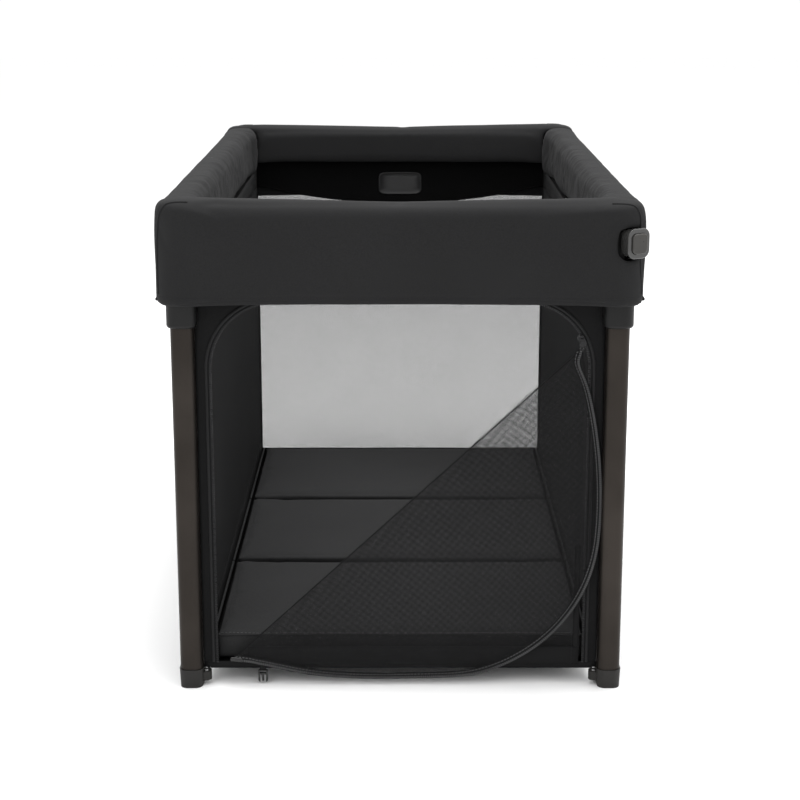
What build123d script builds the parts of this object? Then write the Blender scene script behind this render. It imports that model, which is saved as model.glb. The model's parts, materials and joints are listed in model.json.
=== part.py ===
"""Travel playpen with a zipped mesh door: frame, covers, walls, door, mattress and folding side rails.

Millimetres. +X is to the right as seen from the door end, the door end is at -Y, +Z is up, and the
origin is on the floor under the middle of the playpen. Every corner piece is drawn at the near right
corner (+X, -Y) and mirrored to the other three.
"""
import os
from math import cos, radians, sin

from build123d import *

os.makedirs("parts", exist_ok=True)

# Overall size
WIDTH = 720
LENGTH = 1060
HEIGHT = 752

# End covers: a deep outer skirt, a shorter inner one, open underneath and where the side rails enter
COVER_DEPTH = 64
COVER_HEM = 598
COVER_INNER_HEM = 676
COVER_WALL = 8
COVER_RADIUS = 40

# Legs, hubs and feet
LEG_X = 318
LEG_Y = 492
LEG_WIDE = 34
LEG_LONG = 38
LEG_WALL = 1.6
LEG_RADIUS = 11
COLLAR_WIDE = 44
COLLAR_LONG = 50
COLLAR_BOTTOM = 564
HUB_DECK = 654
HUB_TOP = 726
FOOT_HEIGHT = 30
SCREW_RADIUS = 3

# Rails
RAIL_WIDE = 22
RAIL_TALL = 30
RAIL_WALL = 1.5
RAIL_RADIUS = 6
SPIGOT_WIDE = RAIL_WIDE - 2 * RAIL_WALL - 0.4
SPIGOT_TALL = RAIL_TALL - 2 * RAIL_WALL - 0.4
RAIL_Z = 706
SIDE_RAIL_X = 330
END_RAIL_Y = 498
SLEEVE_WIDE = 60
SLEEVE_BOTTOM = 664
SLEEVE_TOP = 742
SLEEVE_WALL = 6
SLEEVE_START = 440
SLEEVE_GAP = 10

# Rail pivots: at the hubs under the rail, and at the middle on the sleeve's top surface
HUB_PIVOT_Y = 461
HUB_PIVOT_Z = 669
PIN_RADIUS = 3
CENTRE_PIN_RADIUS = 2.5
PIN_PLAY = 0.05
EAR_RADIUS = 9
CENTRE_EAR_RADIUS = 6

# Soft walls and floor
WALL = 2
END_WALL_Y = 490
SIDE_WALL_X = 294
WALL_HALF = 292
WALL_BOTTOM = 26
WALL_TOP = 686

# Door: an arch whose right lower half stays closed below the fold line
DOOR_HALF = 284
DOOR_BOTTOM = 34
DOOR_TOP = 604
DOOR_RADIUS = 105
FOLD_Z = 283
FOLD_ANGLE = 43.3
FOLD_CLEAR = 1.5
FLAP_LIFT = 6.5
ZIP_WIDE = 6
ZIP_THICK = 3.5
ZIP_SLOT = 5
SLIDER_ANGLE = 26

# Far wall: its mesh window and the plain patch above it
WINDOW_TOP = 616
WINDOW_SAG = 24
WINDOW_BOTTOM = 62
PATCH_Z = 633
PATCH_WIDE = 88
PATCH_TALL = 46

# Mattress: three panels with their hinges at alternate faces
MATTRESS_HALF_X = 288
MATTRESS_HALF_Y = 480
MATTRESS_BOTTOM = 32
MATTRESS_THICK = 40
PANEL_GAP = 1

# Release buttons, on the corner and turned this far from the end towards the side
BUTTON_TURN = 30
BEZEL_WIDE = 38
BEZEL_TALL = 44
BEZEL_FACE = 41.5
BEZEL_BACK = 22
BUTTON_WIDE = 26
BUTTON_TALL = 30
BUTTON_PROUD = 3.5
BUTTON_Z = 692
BUTTON_PLAY = 0.4

corner = Vector(WIDTH / 2 - COVER_RADIUS, -LENGTH / 2 + COVER_RADIUS, BUTTON_Z)
facing = Vector(sin(radians(BUTTON_TURN)), -cos(radians(BUTTON_TURN)), 0)
button_plane = Plane(origin=corner, x_dir=(-facing.Y, facing.X, 0), z_dir=facing)


def save(piece, name):
    """Label a finished piece and write it."""
    piece.label = name
    export_step(piece, f"parts/{name}.step")


def copy_to(piece, left=False, far=False):
    """The near right piece, mirrored to the left and to the far end as asked."""
    with BuildPart() as copy:
        add(piece)
        if left:
            mirror(about=Plane.YZ, mode=Mode.REPLACE)
        if far:
            mirror(about=Plane.XZ, mode=Mode.REPLACE)
    return copy.part


def save_corners(piece, name):
    """One copy of a piece at each of the four corners."""
    for end, far in (("near", False), ("far", True)):
        for side, left in (("left", True), ("right", False)):
            save(copy_to(piece, left, far), f"{end}_{side}_{name}")


# ---------------------------------------------------------------- end covers

with BuildPart() as cover:
    inner_y = -LENGTH / 2 + COVER_DEPTH
    with BuildSketch(Plane.XY.offset(COVER_HEM)):
        with Locations((0, -LENGTH / 2 + COVER_DEPTH / 2)):
            Rectangle(WIDTH, COVER_DEPTH)
    extrude(amount=HEIGHT - COVER_HEM)
    outer_corners = cover.edges().filter_by(Axis.Z).group_by(Axis.Y)[0]
    fillet(outer_corners, COVER_RADIUS)
    top_edges = cover.faces().sort_by(Axis.Z)[-1].edges()
    fillet(top_edges.filter_by(lambda edge: edge.center().Y < inner_y - 1), 14)
    with BuildSketch(Plane.XY.offset(COVER_HEM)):
        with Locations((0, -LENGTH / 2 + COVER_DEPTH / 2)):
            Rectangle(WIDTH - 2 * COVER_WALL, COVER_DEPTH - 2 * COVER_WALL)
        fillet(vertices().group_by(Axis.Y)[0], COVER_RADIUS - COVER_WALL)
    extrude(amount=HEIGHT - COVER_HEM - COVER_WALL, mode=Mode.SUBTRACT)
    with BuildSketch(Plane.XY.offset(COVER_HEM)):
        with Locations((0, inner_y - COVER_WALL / 2)):
            Rectangle(WIDTH - 2 * COVER_WALL, COVER_WALL)
    extrude(amount=COVER_INNER_HEM - COVER_HEM, mode=Mode.SUBTRACT)
    rail_door = SLEEVE_WIDE - COVER_WALL
    with BuildSketch(Plane.XY.offset(COVER_HEM)):
        with Locations((-(WIDTH / 2 - COVER_WALL - rail_door / 2), inner_y - COVER_WALL / 2)):
            Rectangle(rail_door, COVER_WALL)
        with Locations((WIDTH / 2 - COVER_WALL - rail_door / 2, inner_y - COVER_WALL / 2)):
            Rectangle(rail_door, COVER_WALL)
    extrude(amount=HEIGHT - COVER_HEM - COVER_WALL, mode=Mode.SUBTRACT)
    with BuildSketch(button_plane.offset(BEZEL_BACK - 1)):
        RectangleRounded(BEZEL_WIDE + 0.4, BEZEL_TALL + 0.4, 12.2)
    extrude(amount=BEZEL_FACE - BEZEL_BACK + 10, mode=Mode.SUBTRACT)
with BuildPart() as far_cover:
    add(cover.part)
    mirror(about=Plane.YZ, mode=Mode.REPLACE)
    mirror(about=Plane.XZ, mode=Mode.REPLACE)
save(cover.part, "near_end_cover")
save(far_cover.part, "far_end_cover")

# ---------------------------------------------------------------- legs, feet and hubs

with BuildPart() as leg:
    with BuildSketch(Plane.XY.offset(FOOT_HEIGHT)):
        with Locations((LEG_X, -LEG_Y)):
            RectangleRounded(LEG_WIDE, LEG_LONG, LEG_RADIUS)
            RectangleRounded(
                LEG_WIDE - 2 * LEG_WALL,
                LEG_LONG - 2 * LEG_WALL,
                LEG_RADIUS - LEG_WALL,
                mode=Mode.SUBTRACT,
            )
    extrude(amount=HUB_DECK - FOOT_HEIGHT - 8)
save_corners(leg.part, "leg")

foot_x = LEG_X + 0.5
toe_tip = LEG_X - 30
with BuildPart() as foot:
    with BuildSketch(Plane.XY):
        with Locations((foot_x, -LEG_Y)):
            RectangleRounded(LEG_WIDE, LEG_LONG - 2, LEG_RADIUS)
    with BuildSketch(Plane.XY.offset(FOOT_HEIGHT)):
        with Locations((LEG_X, -LEG_Y)):
            RectangleRounded(LEG_WIDE + 3, LEG_LONG + 3, LEG_RADIUS + 1)
    loft()
    with BuildSketch(Plane.XY.offset(8)):
        with BuildLine():
            heel = Line((LEG_X - 8, -LEG_Y + 11), (LEG_X - 8, -LEG_Y - 11))
            lower = Line(heel @ 1, (toe_tip + 8, -LEG_Y - 8))
            tip = TangentArc(lower @ 1, (toe_tip + 8, -LEG_Y + 8), tangent=(-1, 0.1))
            Line(tip @ 1, heel @ 0)
        make_face()
    extrude(amount=14)
    with Locations((toe_tip + 9, -LEG_Y, 22)):
        CounterBoreHole(SCREW_RADIUS / 2, SCREW_RADIUS + 0.4, 3, 12)
    spigot_gap = 2 * LEG_WALL + 0.6
    with BuildSketch(Plane.XY.offset(FOOT_HEIGHT)):
        with Locations((LEG_X, -LEG_Y)):
            RectangleRounded(LEG_WIDE - spigot_gap, LEG_LONG - spigot_gap, LEG_RADIUS - 2)
    extrude(amount=24)
save_corners(foot.part, "foot")

with BuildPart() as foot_screws:
    for side in (-1, 1):
        with BuildSketch(Plane.XY.offset(19.2)):
            with Locations((side * (toe_tip + 9), -LEG_Y)):
                Circle(SCREW_RADIUS)
                RegularPolygon(1.4, 6, mode=Mode.SUBTRACT)
        extrude(amount=2.2)
        with BuildSketch(Plane.XY.offset(12)):
            with Locations((side * (toe_tip + 9), -LEG_Y)):
                Circle(SCREW_RADIUS / 2 - 0.05)
        extrude(amount=7.2)
save(foot_screws.part, "near_foot_screws")
save(copy_to(foot_screws.part, far=True), "far_foot_screws")

pivot = Vector(SIDE_RAIL_X, -HUB_PIVOT_Y, HUB_PIVOT_Z)
collar_x = SIDE_WALL_X + WALL + COLLAR_WIDE / 2
with BuildPart() as hub:
    # the collar round the leg's top
    with BuildSketch(Plane.XY.offset(COLLAR_BOTTOM)):
        with Locations((collar_x, -LEG_Y)):
            RectangleRounded(COLLAR_WIDE, COLLAR_LONG, LEG_RADIUS + 4)
    extrude(amount=HUB_DECK - COLLAR_BOTTOM)
    fillet(hub.faces().sort_by(Axis.Z)[0].edges(), 5)
    # the deck's block that the rails meet, kept clear of the button's housing
    with BuildSketch(Plane.XY.offset(HUB_DECK)):
        with Locations((LEG_X - 1, -LEG_Y + 3)):
            Rectangle(30, 28)
            chamfer(vertices().group_by(Axis.X)[-1].sort_by(Axis.Y)[0], 8)
    extrude(amount=HUB_TOP - HUB_DECK)
    with BuildSketch(Plane.YZ.offset(LEG_X - 16)):
        with Locations((-END_RAIL_Y, RAIL_Z)):
            RectangleRounded(SPIGOT_WIDE, SPIGOT_TALL, RAIL_RADIUS - RAIL_WALL)
    extrude(amount=-18)
    # two cheeks that carry the side rail's pivot
    for cheek_x in (SIDE_RAIL_X - 10, SIDE_RAIL_X + 5.4):
        with BuildSketch(Plane.YZ.offset(cheek_x)):
            with BuildLine():
                lug = CenterArc((pivot.Y, pivot.Z), EAR_RADIUS, -90, 180)
                Polyline(lug @ 1, (-LEG_Y + 14, pivot.Z + EAR_RADIUS), (-LEG_Y + 14, HUB_DECK - 6))
                Polyline((-LEG_Y + 14, HUB_DECK - 6), (-LEG_Y + 20, HUB_DECK - 6), lug @ 0)
            make_face()
            with Locations((pivot.Y, pivot.Z)):
                Circle(PIN_RADIUS, mode=Mode.SUBTRACT)
        extrude(amount=4.6)
    # the socket for the leg
    with BuildSketch(Plane.XY.offset(COLLAR_BOTTOM)):
        with Locations((LEG_X, -LEG_Y)):
            RectangleRounded(LEG_WIDE + 0.4, LEG_LONG + 0.4, LEG_RADIUS + 0.2)
    extrude(amount=HUB_DECK - COLLAR_BOTTOM - 7.6, mode=Mode.SUBTRACT)
save_corners(hub.part, "hub")

with BuildPart() as hub_pins:
    for side in (-1, 1):
        with BuildSketch(Plane.YZ.offset(side * SIDE_RAIL_X)):
            with Locations((pivot.Y, pivot.Z)):
                Circle(PIN_RADIUS)
        extrude(amount=10, both=True)
save(hub_pins.part, "near_hub_pins")
save(copy_to(hub_pins.part, far=True), "far_hub_pins")

with BuildPart() as end_rail:
    with BuildSketch(Plane.YZ):
        with Locations((-END_RAIL_Y, RAIL_Z)):
            RectangleRounded(RAIL_WIDE, RAIL_TALL, RAIL_RADIUS)
            RectangleRounded(
                RAIL_WIDE - 2 * RAIL_WALL,
                RAIL_TALL - 2 * RAIL_WALL,
                RAIL_RADIUS - RAIL_WALL,
                mode=Mode.SUBTRACT,
            )
    extrude(amount=LEG_X - 16, both=True)
save(end_rail.part, "near_end_rail")
save(copy_to(end_rail.part, far=True), "far_end_rail")

# ---------------------------------------------------------------- folding side rails

tube_start = -HUB_PIVOT_Y + 21
tube_end = -16
with BuildPart() as side_rail:
    with BuildSketch(Plane.XZ.offset(-tube_start)):
        with Locations((SIDE_RAIL_X, RAIL_Z)):
            RectangleRounded(RAIL_WIDE, RAIL_TALL, RAIL_RADIUS)
            RectangleRounded(
                RAIL_WIDE - 2 * RAIL_WALL,
                RAIL_TALL - 2 * RAIL_WALL,
                RAIL_RADIUS - RAIL_WALL,
                mode=Mode.SUBTRACT,
            )
    extrude(amount=-(tube_end - tube_start))



def rail_fittings(ear_x):
    """The hub end fitting and the middle fitting of one half rail, pressed into its tube's ends."""
    with BuildPart() as fittings:
        with BuildSketch(Plane.YZ.offset(SIDE_RAIL_X - 5)):
            with BuildLine():
                lug = CenterArc((pivot.Y, pivot.Z), EAR_RADIUS, 180, 180)
                Polyline(lug @ 1, (tube_start, RAIL_Z - SPIGOT_TALL / 2), (tube_start, RAIL_Z + 14), lug @ 0)
            make_face()
            with Locations((pivot.Y, pivot.Z)):
                Circle(PIN_RADIUS + PIN_PLAY, mode=Mode.SUBTRACT)
        extrude(amount=10)
        with BuildSketch(Plane.XZ.offset(-tube_start)):
            with Locations((SIDE_RAIL_X, RAIL_Z)):
                RectangleRounded(SPIGOT_WIDE, SPIGOT_TALL, RAIL_RADIUS - RAIL_WALL)
        extrude(amount=-26)
        with BuildSketch(Plane.YZ.offset(ear_x)):
            with BuildLine():
                ear = CenterArc((0, SLEEVE_TOP), CENTRE_EAR_RADIUS, -45, 180)
                Polyline(ear @ 1, (tube_end, RAIL_Z + 14), (tube_end, RAIL_Z - SPIGOT_TALL / 2), ear @ 0)
            make_face()
            with Locations((0, SLEEVE_TOP)):
                Circle(CENTRE_PIN_RADIUS + PIN_PLAY, mode=Mode.SUBTRACT)
        extrude(amount=4.4)
        with BuildSketch(Plane.XZ.offset(-tube_end)):
            with Locations((SIDE_RAIL_X, RAIL_Z)):
                RectangleRounded(SPIGOT_WIDE, SPIGOT_TALL, RAIL_RADIUS - RAIL_WALL)
        extrude(amount=26)
    return fittings.part


with BuildPart() as sleeve:
    with BuildSketch(Plane.XZ.offset(SLEEVE_START)):
        with Locations((SIDE_RAIL_X, (SLEEVE_BOTTOM + SLEEVE_TOP) / 2)):
            RectangleRounded(SLEEVE_WIDE, SLEEVE_TOP - SLEEVE_BOTTOM, 12)
            RectangleRounded(
                SLEEVE_WIDE - 2 * SLEEVE_WALL,
                SLEEVE_TOP - SLEEVE_BOTTOM - 2 * SLEEVE_WALL,
                8,
                mode=Mode.SUBTRACT,
            )
    extrude(amount=-(SLEEVE_START - SLEEVE_GAP))

with BuildPart() as centre_pin:
    with BuildSketch(Plane.YZ.offset(SIDE_RAIL_X)):
        with Locations((0, SLEEVE_TOP)):
            Circle(CENTRE_PIN_RADIUS)
    extrude(amount=8, both=True)

for side, left in (("left", True), ("right", False)):
    for end, far in (("near", False), ("far", True)):
        ear_x = SIDE_RAIL_X + 0.3 if far else SIDE_RAIL_X - 4.7
        save(copy_to(side_rail.part, left, far), f"{side}_{end}_rail_tube")
        save(copy_to(rail_fittings(ear_x), left, far), f"{side}_{end}_rail_fittings")
        save(copy_to(sleeve.part, left, far), f"{side}_{end}_sleeve")
    save(copy_to(centre_pin.part, left), f"{side}_centre_pin")

# ---------------------------------------------------------------- side walls, skirts and floor

side_wall_half = END_WALL_Y - WALL
for side, sign in (("left", -1), ("right", 1)):
    with BuildPart() as side_wall:
        with BuildSketch(Plane.XY.offset(WALL_BOTTOM)):
            with Locations((sign * SIDE_WALL_X, 0)):
                Rectangle(WALL, 2 * side_wall_half)
        extrude(amount=SLEEVE_BOTTOM - WALL_BOTTOM - 2)
    save(side_wall.part, f"{side}_side_wall")

    with BuildPart() as skirt:
        with BuildSketch(Plane.XY.offset(COVER_HEM)):
            with Locations((sign * (WIDTH / 2 - 5), 0)):
                Rectangle(6, LENGTH - 2 * COVER_DEPTH - 2)
        extrude(amount=SLEEVE_BOTTOM - COVER_HEM - 1)
    save(skirt.part, f"{side}_skirt")

with BuildPart() as floor_sheet:
    with BuildSketch(Plane.XY.offset(WALL_BOTTOM - 2)):
        Rectangle(2 * SIDE_WALL_X - WALL - 1, 2 * side_wall_half)
    extrude(amount=WALL + 1)
save(floor_sheet.part, "floor_sheet")

# ---------------------------------------------------------------- near wall and its door

near_plane = Plane(origin=(0, -END_WALL_Y + WALL / 2, 0), x_dir=(1, 0, 0), z_dir=(0, -1, 0))
fold_slope = sin(radians(FOLD_ANGLE)) / cos(radians(FOLD_ANGLE))


def fold_height(x, drop=0.0):
    """Height of the fold line at x, lowered by drop."""
    return FOLD_Z + fold_slope * x - drop


def arch(half, bottom, top, radius):
    """A door shaped face with rounded top corners, in the open sketch."""
    with Locations((0, (bottom + top) / 2)):
        Rectangle(2 * half, top - bottom)
    fillet(vertices().group_by(Axis.Y)[-1], radius)


with BuildPart() as near_border:
    with BuildSketch(near_plane):
        with Locations((0, (WALL_BOTTOM + WALL_TOP) / 2)):
            Rectangle(2 * WALL_HALF, WALL_TOP - WALL_BOTTOM)
    extrude(amount=WALL)
    with BuildSketch(near_plane):
        arch(DOOR_HALF, DOOR_BOTTOM, DOOR_TOP, DOOR_RADIUS)
    extrude(amount=WALL, mode=Mode.SUBTRACT)
save(near_border.part, "near_wall_border")

panel_inset = ZIP_WIDE + ZIP_SLOT
with BuildPart() as lower_panel:
    with BuildSketch(near_plane):
        arch(DOOR_HALF - panel_inset, DOOR_BOTTOM, DOOR_TOP - panel_inset, DOOR_RADIUS - panel_inset)
        with BuildLine():
            Polyline(
                (-DOOR_HALF, fold_height(-DOOR_HALF, FOLD_CLEAR)),
                (DOOR_HALF, fold_height(DOOR_HALF, FOLD_CLEAR)),
                (DOOR_HALF, DOOR_TOP),
                (-DOOR_HALF, DOOR_TOP),
                close=True,
            )
        make_face(mode=Mode.SUBTRACT)
    extrude(amount=WALL)
save(lower_panel.part, "door_lower_panel")

# the tooth chain all round the arch
chain_x = DOOR_HALF - ZIP_WIDE / 2
chain_top = DOOR_TOP - ZIP_WIDE / 2
chain_radius = DOOR_RADIUS - ZIP_WIDE / 2
with BuildPart() as frame_chain:
    with BuildSketch(near_plane):
        with BuildLine():
            right_side = Line((chain_x, DOOR_BOTTOM + 1), (chain_x, chain_top - chain_radius))
            right_corner = RadiusArc(
                right_side @ 1,
                (chain_x - chain_radius, chain_top),
                -chain_radius,
            )
            over_top = Line(right_corner @ 1, (chain_radius - chain_x, chain_top))
            left_corner = RadiusArc(
                over_top @ 1,
                (-chain_x, chain_top - chain_radius),
                -chain_radius,
            )
            Line(left_corner @ 1, (-chain_x, DOOR_BOTTOM + 1))
        trace(line_width=ZIP_WIDE - 0.2)
    extrude(amount=ZIP_THICK)
save(frame_chain.part, "frame_zip_chain")

# the flap lies folded down over the lower panel, in front of it
flap_plane = near_plane.offset(FLAP_LIFT)
flap_tip = (256, fold_height(256, FOLD_CLEAR + 4))
flap_heel = (-253, fold_height(-253, FOLD_CLEAR + 1))


def flap_rim():
    """The flap's free edge in the open line: down the right side, round the corner, along the bottom."""
    inset = ZIP_WIDE / 2
    upper = Line((flap_tip[0], flap_tip[1] - 5), (276 - inset, 480))
    bulge = ThreePointArc(upper @ 1, (296 - inset, 370), (298 - inset, 235))
    sweep_corner = TangentArc(bulge @ 1, (130, 23 + inset), tangent=bulge % 1)
    bottom = Spline(
        sweep_corner @ 1,
        (40, 13 + inset),
        (-150, 20 + inset),
        (flap_heel[0] + 3, 38 + inset),
        tangents=(sweep_corner % 1, (-1, 0.08)),
    )
    return upper, bottom


with BuildPart() as flap:
    with BuildSketch(flap_plane):
        with BuildLine():
            rim_start, rim_end = flap_rim()
            Polyline(rim_end @ 1, flap_heel, flap_tip, rim_start @ 0)
        make_face()
    extrude(amount=WALL)
    with BuildSketch(flap_plane):
        with BuildLine():
            flap_rim()
        trace(line_width=ZIP_WIDE)
    extrude(amount=WALL, mode=Mode.SUBTRACT)
flap_panel = flap.part.solids().sort_by(SortBy.VOLUME)[-1]
with BuildPart() as flap_piece:
    add(flap_panel)
save(flap_piece.part, "door_flap")

with BuildPart() as flap_chain:
    with BuildSketch(flap_plane):
        with BuildLine():
            flap_rim()
        trace(line_width=ZIP_WIDE)
    extrude(amount=ZIP_THICK)
save(flap_chain.part, "flap_zip_chain")

# slider: two plates joined by a post that runs in the slot beside the arch's chain
arch_centre_x = DOOR_HALF - DOOR_RADIUS
arch_centre_z = DOOR_TOP - DOOR_RADIUS
post_radius = DOOR_RADIUS - ZIP_WIDE - ZIP_SLOT / 2
slider_x = arch_centre_x + (post_radius + 1) * cos(radians(SLIDER_ANGLE))
slider_z = arch_centre_z + (post_radius + 1) * sin(radians(SLIDER_ANGLE))
plate_gap = 0.5
plate_thick = 1.6
front_y = -END_WALL_Y + WALL / 2 - ZIP_THICK - plate_gap - plate_thick
pull_y = front_y - 1.4
with BuildPart() as slider:
    with BuildSketch(near_plane.offset(-plate_gap - plate_thick)):
        with Locations(Location((slider_x, slider_z, 0), SLIDER_ANGLE)):
            RectangleRounded(10, 16, 3.5)
    extrude(amount=plate_thick)
    with BuildSketch(near_plane.offset(ZIP_THICK + plate_gap)):
        with Locations(Location((slider_x, slider_z, 0), SLIDER_ANGLE)):
            RectangleRounded(10, 16, 3.5)
    extrude(amount=plate_thick)
    with BuildSketch(near_plane.offset(-plate_gap - 0.5)):
        with Locations(Location((slider_x, slider_z, 0), SLIDER_ANGLE)):
            with Locations((-1, 4)):
                Rectangle(2.2, 5)
    extrude(amount=ZIP_THICK + 2 * plate_gap + 1)
    # two ears and a pin for the pull's eye
    for ear_side in (-1, 1):
        with BuildSketch(Plane.YZ.offset(slider_x + ear_side * 2.5)):
            with Locations((front_y - 1, slider_z + 3)):
                Rectangle(2.6, 2.4)
        extrude(amount=0.5, both=True)
    with BuildSketch(Plane.YZ.offset(slider_x)):
        with Locations((pull_y, slider_z + 3)):
            Circle(0.5)
    extrude(amount=2.6, both=True)
save(slider.part, "zip_slider")

with BuildPart() as pull:
    with BuildSketch(Plane.YZ.offset(slider_x)):
        with Locations((pull_y, slider_z + 3)):
            Circle(1.1)
        with Locations((pull_y, slider_z + 1)):
            Rectangle(1.2, 4)
        with Locations((pull_y, slider_z + 3)):
            Circle(0.55, mode=Mode.SUBTRACT)
    extrude(amount=1.6, both=True)
    with BuildSketch(Plane.XZ.offset(-pull_y - 0.6)):
        with Locations((slider_x, slider_z - 7)):
            RectangleRounded(6.4, 14, 2.5)
        with Locations((slider_x, slider_z - 10.5)):
            Circle(1.6, mode=Mode.SUBTRACT)
    extrude(amount=1.2)
save(pull.part, "zip_pull")

# buckle: a short strap behind the flap's lower rim, and the male half hanging from it
buckle_x = -210
buckle_y = -END_WALL_Y - 3.2
buckle_pivot_z = 20


def buckle_point(across, below):
    """A point of the buckle, across its middle and below its pivot."""
    return buckle_x + across, buckle_pivot_z - below


with BuildPart() as strap:
    with BuildSketch(Plane.XZ.offset(-buckle_y - 0.6)):
        with Locations((buckle_x, buckle_pivot_z + 10.6)):
            Rectangle(10, 14)
    extrude(amount=1.2)
save(strap.part, "buckle_strap")

with BuildPart() as buckle:
    with BuildSketch(Plane.XZ.offset(-buckle_y - 1.8)):
        with Locations((buckle_x, buckle_pivot_z - 1)):
            RectangleRounded(15, 7, 1.5)
            Rectangle(10.4, 2.4, mode=Mode.SUBTRACT)
        for side in (-1, 1):
            with BuildLine():
                prong = Line(buckle_point(side * 7, 3), buckle_point(side * 7.4, 11))
                hook = ThreePointArc(prong @ 1, buckle_point(side * 6, 15.8), buckle_point(side * 4.4, 17))
                inner = Line(hook @ 1, buckle_point(side * 4.6, 3))
                Line(inner @ 1, prong @ 0)
            make_face()
        with Locations(buckle_point(0, 9)):
            Rectangle(3, 12)
    extrude(amount=3.6)
save(buckle.part, "buckle_male")

# ---------------------------------------------------------------- far wall

far_plane = Plane(origin=(0, END_WALL_Y + WALL / 2, 0), x_dir=(1, 0, 0), z_dir=(0, -1, 0))


def window_outline():
    """The far window's outline in the open line; its upper edge sags at the middle."""
    sag = ThreePointArc((DOOR_HALF, WINDOW_TOP), (0, WINDOW_TOP - WINDOW_SAG), (-DOOR_HALF, WINDOW_TOP))
    Polyline(sag @ 1, (-DOOR_HALF, WINDOW_BOTTOM), (DOOR_HALF, WINDOW_BOTTOM), sag @ 0)


with BuildPart() as far_mesh:
    with BuildSketch(far_plane):
        with BuildLine():
            window_outline()
        make_face()
    extrude(amount=WALL)
save(far_mesh.part, "far_wall_mesh")

with BuildPart() as far_border:
    with BuildSketch(far_plane):
        with Locations((0, (WALL_BOTTOM + WALL_TOP) / 2)):
            Rectangle(2 * WALL_HALF, WALL_TOP - WALL_BOTTOM)
    extrude(amount=WALL)
    with BuildSketch(far_plane):
        with BuildLine():
            window_outline()
        make_face()
    extrude(amount=WALL, mode=Mode.SUBTRACT)
save(far_border.part, "far_wall_border")

with BuildPart() as patch:
    with BuildSketch(Plane.XZ.offset(-END_WALL_Y + WALL / 2 + 0.1)):
        with Locations((0, PATCH_Z)):
            RectangleRounded(PATCH_WIDE, PATCH_TALL, 9)
    extrude(amount=1.6)
save(patch.part, "far_wall_patch")

# ---------------------------------------------------------------- mattress

panel_long = 2 * MATTRESS_HALF_Y / 3
for index, name in enumerate(("near", "middle", "far")):
    with BuildPart() as panel:
        with BuildSketch(Plane.XY.offset(MATTRESS_BOTTOM)):
            with Locations((0, (index - 1) * panel_long)):
                Rectangle(2 * MATTRESS_HALF_X, panel_long - PANEL_GAP)
        extrude(amount=MATTRESS_THICK)
        fillet(panel.edges().filter_by(Axis.Z), 4)
    save(panel.part, f"mattress_{name}")

# ---------------------------------------------------------------- release buttons

with BuildPart() as bezel:
    with BuildSketch(button_plane.offset(BEZEL_BACK)):
        RectangleRounded(BEZEL_WIDE - 3, BEZEL_TALL - 3, 10)
    extrude(amount=BEZEL_FACE - BEZEL_BACK - 2)
    with BuildSketch(button_plane.offset(BEZEL_FACE - 4)):
        RectangleRounded(BEZEL_WIDE, BEZEL_TALL, 12)
    extrude(amount=4)
    fillet(bezel.faces().sort_by(Axis((0, 0, 0), (facing.X, facing.Y, 0)))[-1].edges(), 1.5)
    with BuildSketch(button_plane.offset(BEZEL_BACK + 2)):
        RectangleRounded(BUTTON_WIDE + 2 * BUTTON_PLAY, BUTTON_TALL + 2 * BUTTON_PLAY, 8)
    extrude(amount=BEZEL_FACE, mode=Mode.SUBTRACT)
save(bezel.part, "near_button_bezel")
save(copy_to(bezel.part, True, True), "far_button_bezel")

button_back = BEZEL_FACE - 9
with BuildPart() as button:
    with BuildSketch(button_plane.offset(button_back)):
        RectangleRounded(BUTTON_WIDE, BUTTON_TALL, 7.6)
    extrude(amount=BEZEL_FACE + BUTTON_PROUD - button_back)
    fillet(button.faces().sort_by(Axis((0, 0, 0), (facing.X, facing.Y, 0)))[-1].edges(), 2)
save(button.part, "near_release_button")
save(copy_to(button.part, True, True), "far_release_button")

spring_plane = button_plane.offset(BEZEL_BACK + 2.6)
with BuildPart() as spring:
    with BuildLine():
        coil = Helix(
            pitch=1.9,
            height=7.2,
            radius=5,
            center=spring_plane.origin,
            direction=spring_plane.z_dir,
        )
    with BuildSketch(Plane(origin=coil @ 0, z_dir=coil % 0)):
        Circle(0.4)
    sweep()
save(spring.part, "near_button_spring")
save(copy_to(spring.part, True, True), "far_button_spring")
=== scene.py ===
"""Looks of the travel playpen: padded covers, mesh walls, zipped door and mattress round the CAD frame."""

import json
import math

import bmesh
import bpy
import numpy as np
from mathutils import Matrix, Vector, noise


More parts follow.
